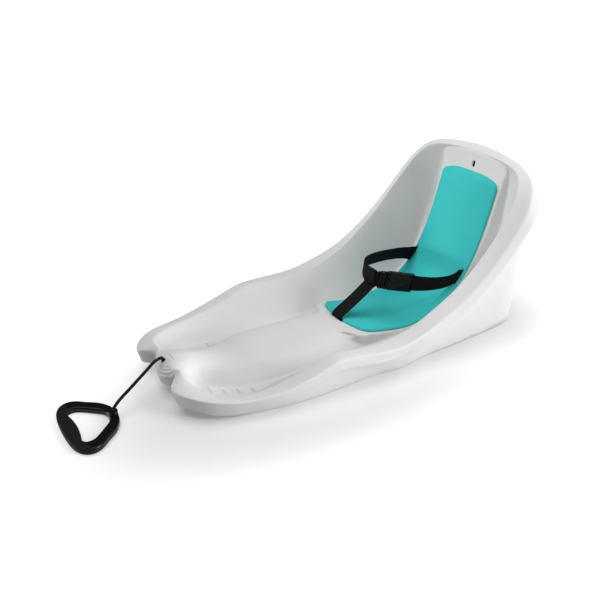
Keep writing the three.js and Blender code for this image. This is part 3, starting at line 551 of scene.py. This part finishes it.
for vert in shell.verts:
    if vert.co.z > sole_top:
        squeeze = between(groove_squeeze, abs(vert.co.x)) * between(groove_share, vert.co.y)
        vert.co.x += squeeze if vert.co.x > 0 else -squeeze
        # Beyond the tunnel, where nothing is lifted, any foot will do.
        foot = between(tunnel_foot, vert.co.y) or 1.0
        share = between(tunnel_share, vert.co.y)
        vert.co.z += between(tunnel_lift, abs(vert.co.x) / foot) * share
hull = rounded(link("hull", shell, hull_finish()), hull_levels)
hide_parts("hull_shell")
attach(hull, "sled")


# Seat mat. Teal closed-cell foam of 6 mm, cut with round corners, with slots for the straps,
# and glued to the seat and the backrest.

mat_shade = (0.036, 0.53, 0.525, 1)
mat_teal = (0.045, 0.57, 0.565, 1)
mat_patches = 9
mat_cells = 900
mat_cell_depth = 0.00025
mat_edge_radius = 0.0016
mat_edge_turn = radians(55)
flat_turn = radians(1.5)


def mat_finish():
    """Matt foam with fine cells and a slow change of tone."""
    foam = Finish("mat_teal_foam")
    place = foam.place()
    cells = foam.noise(place, mat_cells, 4.0, 0.7)
    slow = foam.noise(place, mat_patches, 3.0)
    tone = foam.mix(slow.band(0.3, 0.7), mat_shade, mat_teal)
    relief = foam.bump(cells, mat_cell_depth)
    return foam.shade(Base_Color=tone, Roughness=0.72, Normal=relief, Specular_IOR_Level=0.25)


def softened(piece, name, radius, segments, turn):
    """Rounds off each edge of a piece at which its faces turn by more than an angle."""
    bevel = piece.modifiers.new(name, "BEVEL")
    bevel.width = radius
    bevel.segments = segments
    bevel.limit_method = "ANGLE"
    bevel.angle_limit = turn
    bevel.harden_normals = True


mat_sheet = merged("seat_mat")
bmesh.ops.dissolve_limit(
    mat_sheet,
    angle_limit=flat_turn,
    verts=mat_sheet.verts,
    edges=mat_sheet.edges,
    delimit={"SHARP"},
)
mat = link("seat_pad", mat_sheet, mat_finish())
softened(mat, "soft_edge", mat_edge_radius, 3, mat_edge_turn)
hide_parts("seat_mat")
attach(mat, "sled")


# Harness. Black polyester webbing of 38 mm, woven in a fine herringbone and sewn round a bar
# behind each slot, and a black acetal buckle whose plug takes the right belt through its
# ladder bars.

webbing_width = 0.038
webbing_thickness = 0.0018
weave_rib = 0.0016
weave_pick = 0.0022
weave_lean = 0.3
weave_depth = 0.00035
weave_fuzz = 1200
# The webbing's colour in the weave's hollows is a painted shade.
weave_hollow_painted_shade = (0.0035, 0.003, 0.003, 1)
weave_crown = (0.011, 0.01, 0.01, 1)
# The selvedge's round: how far each point lies in from the edge and down from the middle, in
# half thicknesses.
selvedge = ((1.2, 1.0), (0.4, 0.8), (0.0, 0.3))
hem_sides = 16
bar_hem_radius = 0.0042
hard_turn = radians(30)
worn_radius = 0.0004
worn_turn = radians(40)
across = Vector((1, 0, 0))
slot_up = Vector((0, 0.603, 0.798))
slot_out = (0, -0.798, 0.603)
belt_up = Vector((0.069, 0.237, 0.969))
belt_along = (0.269, 0.931, -0.247)
crotch_up = (0, 0.15, 0.99)
crotch_bar = (0, 0.01292, 0.02699)
right_bar = (-0.082, 0.32491, 0.08537)
left_bar = (0.082, 0.32491, 0.08537)
socket_bar = (0.048215, 0.194695, 0.096245)
crotch_stops = (
    (0, 0.01356, 0.03114),
    (0, 0.01457, 0.03770),
    (0, 0.01557, 0.04419),
    (0, 0.03094, 0.05339),
    (0, 0.05030, 0.06395),
    (0, 0.07670, 0.07954),
    (0, 0.09342, 0.09064),
    (0, 0.10398, 0.09779),
    (0, 0.10750, 0.09790),
)
right_stops = (
    (-0.08200, 0.32156, 0.08790, 0.000, 0.603, 0.798),
    (-0.08200, 0.31461, 0.09314, 0.000, 0.603, 0.798),
    (-0.08200, 0.31102, 0.09435, 0.050, 0.560, 0.810),
    (-0.08181, 0.30163, 0.09800, 0.180, 0.420, 0.890),
    (-0.08129, 0.28861, 0.10150, 0.320, 0.270, 0.910),
    (-0.08010, 0.25710, 0.10857, 0.360, 0.150, 0.920),
    (-0.07605, 0.21662, 0.11500, 0.360, 0.100, 0.920),
    (-0.06997, 0.18142, 0.12016, 0.330, 0.050, 0.940),
    (-0.06210, 0.15150, 0.12390, 0.330, 0.000, 0.940),
    (-0.05085, 0.12862, 0.12440, 0.220, 0.000, 0.979),
    (-0.03600, 0.11454, 0.12240, 0.100, 0.000, 0.995),
    (-0.02340, 0.10821, 0.12000, 0.000, 0.000, 1.000),
    (0.00000, 0.10750, 0.11950, 0.000, 0.000, 1.000),
    (0.01238, 0.10750, 0.11950, 0.000, 0.000, 1.000),
    (0.01890, 0.10777, 0.11935, 0.000, 0.000, 1.000),
    (0.02172, 0.10988, 0.11897, 0.020, 0.099, 0.995),
    (0.02126, 0.11373, 0.11800, 0.069, 0.237, 0.969),
    (0.02226, 0.11717, 0.11709, 0.069, 0.237, 0.969),
    (0.02628, 0.11883, 0.11640, 0.069, 0.237, 0.969),
    (0.03029, 0.12049, 0.11570, 0.069, 0.237, 0.969),
    (0.03121, 0.12366, 0.11486, 0.069, 0.237, 0.969),
    (0.02870, 0.12721, 0.11417, 0.069, 0.237, 0.969),
    (0.02551, 0.12843, 0.11410, 0.069, 0.237, 0.969),
    (0.02052, 0.12988, 0.11410, 0.069, 0.237, 0.969),
)
left_stops = (
    (0.04921, 0.19814, 0.09533, 0.069, 0.237, 0.969),
    (0.05301, 0.21161, 0.09163, 0.080, 0.221, 0.973),
    (0.06201, 0.23862, 0.08720, 0.200, 0.150, 0.970),
    (0.06997, 0.25965, 0.08700, 0.270, 0.120, 0.955),
    (0.07605, 0.27761, 0.08840, 0.320, 0.150, 0.935),
    (0.07942, 0.29063, 0.09070, 0.350, 0.250, 0.900),
    (0.08145, 0.29934, 0.09260, 0.250, 0.400, 0.880),
    (0.08200, 0.31102, 0.09435, 0.000, 0.603, 0.798),
    (0.08200, 0.31461, 0.09314, 0.000, 0.603, 0.798),
    (0.08200, 0.32156, 0.08790, 0.000, 0.603, 0.798),
)
crotch_loop = (
    (0, 0.1040, 0.1014),
    (0, 0.1040, 0.1195),
    (0, 0.1040, 0.1376),
    (0, 0.1075, 0.1411),
    (0, 0.1110, 0.1376),
    (0, 0.1110, 0.1195),
    (0, 0.1110, 0.1014),
    (0, 0.1075, 0.0979),
)


def webbing_finish():
    """Woven polyester: ribs along the strap, crossed by picks that lean one way, then the other.

    Its colour is darker where the weave is low, a painted shade in its hollows.
    """
    cloth = Finish("webbing_black_polyester")
    uv = cloth.uv()
    girth = 2 * (webbing_width + webbing_thickness)
    rib = (cloth.axis(uv, "X") * (2 * pi * round(girth / weave_rib))).math("SINE")
    pick = ((cloth.axis(uv, "Y") / weave_pick + rib * weave_lean) * (2 * pi)).math("SINE")
    fuzz = cloth.noise(cloth.place(), weave_fuzz, 2.0)
    relief = rib * 0.5 + pick * 0.5 + fuzz * 0.5
    # Darker where the weave is low: painted shade in its hollows, with random fuzz.
    tone = cloth.mix(relief.band(-1.0, 1.2), weave_hollow_painted_shade, weave_crown)
    raised = cloth.bump(relief, weave_depth)
    return cloth.shade(Base_Color=tone, Roughness=0.8, Normal=raised, Specular_IOR_Level=0.15)


def ribbon(path, sides, closed=False):
    """Webbing along a path: flat, with rounded selvedges."""
    half, low = webbing_width / 2, webbing_thickness / 2
    quarter = [(half - low * inwards, -low * down) for inwards, down in selvedge]
    side = quarter + [(a, -b) for a, b in quarter[::-1]]
    return swept(side + [(-a, -b) for a, b in side], path, sides, closed)


def hem(centre, outwards, side):
    """The strap's end, sewn to a ring round its bar."""
    first, side = Vector(outwards).normalized(), Vector(side)
    second = side.cross(first).normalized()
    middle = Vector(centre)
    ring = [middle + (first * a + second * b) * bar_hem_radius for a, b in circle(hem_sides)]
    return ribbon(ring, [side] * hem_sides, closed=True)


def joined(parts):
    """Several meshes as one."""
    whole = bmesh.new()
    for part in parts:
        held = bpy.data.meshes.new("held")
        part.to_mesh(held)
        part.free()
        whole.from_mesh(held)
        bpy.data.meshes.remove(held)
    return whole


def belt(stops):
    """Webbing through stops that each hold a place and the webbing's own upward direction."""
    places = smooth_path([Vector(stop[:3]) for stop in stops], path_steps)
    return ribbon(places, smooth_path([Vector(stop[3:]) for stop in stops], path_steps))


def sharpened(piece, turn):
    """Keeps a piece's hard edges hard under smooth shading."""
    piece.data.set_sharp_from_angle(angle=turn)
    return piece


crotch_line = smooth_path([Vector(stop) for stop in crotch_stops], path_steps)
loop_line = [Vector(stop) for stop in crotch_loop]
webbing = webbing_finish()
for node, parts in (
    (
        "crotch_strap",
        (
            ribbon(crotch_line, [across] * len(crotch_line)),
            ribbon(loop_line, [across] * len(loop_line), closed=True),
            hem(crotch_bar, crotch_up, across),
        ),
    ),
    ("lap_strap_right", (belt(right_stops), hem(right_bar, slot_out, slot_up))),
    (
        "lap_strap_left",
        (
            belt(left_stops),
            hem(left_bar, slot_out, slot_up),
            hem(socket_bar, belt_along, belt_up),
        ),
    ),
):
    strap = link(node + "_webbing", joined(parts), webbing)
    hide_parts(node)
    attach(strap, "sled")
acetal = plastic(
    "buckle_acetal",
    colour=(0.003, 0.003, 0.003),
    roughness=0.45,
    grain=500,
    depth=0.0001,
    shine=0.2,
)
for node, body in (
    ("buckle_plug", "sled"),
    ("buckle_socket", "sled"),
    ("buckle_prong_upper", "prong_upper"),
    ("buckle_prong_lower", "prong_lower"),
):
    part = sharpened(link(node + "_moulding", merged(node), acetal), hard_turn)
    softened(part, "worn_edge", worn_radius, 2, worn_turn)
    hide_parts(node)
    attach(part, body)
for node in ("lap_anchor_bar_left", "lap_anchor_bar_right", "crotch_anchor_bar"):
    bar = sharpened(link(node + "_rod", merged(node), acetal), hard_turn)
    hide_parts(node)
    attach(bar, "sled")


# Studio. A white floor with the sled's soft shadow, cast by the lamps and also painted as a
# darker patch in the floor's glow, under a white surround. Four wide suns stand above, at the
# left rear and low at the right front, and three panels light the seat, the backrest and the
# hull's left side.

floor_size = 60
floor_grey = 0.66
floor_roughness = 0.5
# The floor's glow in the painted shadow and far off, the distances over which the painted shadow fades out,
# and where the oval's middle lies and how it is squeezed.
painted_shadow_glow = 0.18
glow_far = 0.8
near_reach = 0.3
far_reach = 0.75
shadow_left = 0.12
shadow_front = 0.05
shadow_narrow = 2.0
shadow_long = 0.85
fill_strength = 0.13
# A sun's name, where it stands, its strength and its width in degrees.
suns = (
    ("skylight", (-0.3, -0.4, 2.2), 1.3, 50),
    ("low_sun", (1.0, 0.9, 0.8), 1.0, 25),
    ("side_sun", (1.0, 0.95, 0.105), 1.6, 12),
    ("nose_sun", (-1.0, -1.1, 0.1), 0.9, 12),
)
# A panel's name, where it hangs, what it faces, its watts, its side and its spread in degrees.
panels = (
    ("overhead", (0.1, 0.5, 1.3), (0, 0.35, 0.1), 3.2, 1.0, 180),
    ("back_light", (-0.2, -1.0, 1.1), (0, 0.42, 0.28), 0.38, 0.5, 40),
    ("right_window", (1.4, 0.9, 0.5), (0.1, 0.1, 0.12), 5, 1.0, 180),
)


def floor_finish():
    """Paper white for the camera and for reflections, with a painted shadow in its glow.

    It glows less in an oval round the sled, shifted to the sled's left and front, where the
    lamps light it most: a painted shadow, in which the lamps' own shadow shows too."""
    paper = Finish("floor_white")
    place = paper.place()
    # A painted shadow: the glow is lowered in an oval round the sled, shifted to its left and front.
    beside = (paper.axis(place, "X") - shadow_left) * shadow_narrow
    ahead = (paper.axis(place, "Y") + shadow_front) * shadow_long
    reach = (beside * beside + ahead * ahead).math("SQRT").band(near_reach, far_reach)
    seen = paper.node("ShaderNodeLightPath", {}, {}, "Is Camera Ray")
    glossy = paper.node("ShaderNodeLightPath", {}, {}, "Is Glossy Ray")
    through = paper.node("ShaderNodeLightPath", {}, {}, "Is Transmission Ray")
    shown = seen.math("MAXIMUM", glossy).math("MAXIMUM", through)
    glow_with_painted_shadow = paper.mix(reach, (painted_shadow_glow,) * 3 + (1,), (glow_far,) * 3 + (1,))
    glow = paper.mix(shown, (0, 0, 0, 1), glow_with_painted_shadow)
    return paper.shade(
        Base_Color=(floor_grey,) * 3 + (1,),
        Roughness=floor_roughness,
        Emission_Color=glow,
        Emission_Strength=1.0,
    )


def lamp(name, kind, place, target, power):
    """A lamp that stands at a place and faces a target, and that the camera doesn't see."""
    light = bpy.data.lights.new(name, kind)
    light.energy = power
    holder = bpy.data.objects.new(name, light)
    holder.location = place
    holder.rotation_euler = (Vector(target) - Vector(place)).to_track_quat("-Z", "Y").to_euler()
    holder.visible_camera = False
    bpy.context.scene.collection.objects.link(holder)
    return light


ground = bmesh.new()
bmesh.ops.create_grid(ground, x_segments=1, y_segments=1, size=floor_size / 2)
floor = link("floor", ground, floor_finish())
for name, place, power, width in suns:
    sun = lamp(name, "SUN", place, (0, 0, 0), power)
    sun.angle = radians(width)
for name, place, target, power, side, spread in panels:
    panel = lamp(name, "AREA", place, target, power)
    panel.size = side
    panel.spread = radians(spread)
surround = bpy.data.worlds.new("studio")
surround.use_nodes = True
sky = surround.node_tree
sky.nodes.clear()
path_light = sky.nodes.new("ShaderNodeLightPath")
fill = sky.nodes.new("ShaderNodeBackground")
white = sky.nodes.new("ShaderNodeBackground")
fill.inputs["Color"].default_value = (1, 1, 1, 1)
fill.inputs["Strength"].default_value = fill_strength
white.inputs["Color"].default_value = (1, 1, 1, 1)
choose = sky.nodes.new("ShaderNodeMixShader")
out = sky.nodes.new("ShaderNodeOutputWorld")
sky.links.new(path_light.outputs["Is Camera Ray"], choose.inputs[0])
sky.links.new(fill.outputs[0], choose.inputs[1])
sky.links.new(white.outputs[0], choose.inputs[2])
sky.links.new(choose.outputs[0], out.inputs["Surface"])
bpy.context.scene.world = surround
bpy.context.scene.view_settings.view_transform = "Standard"
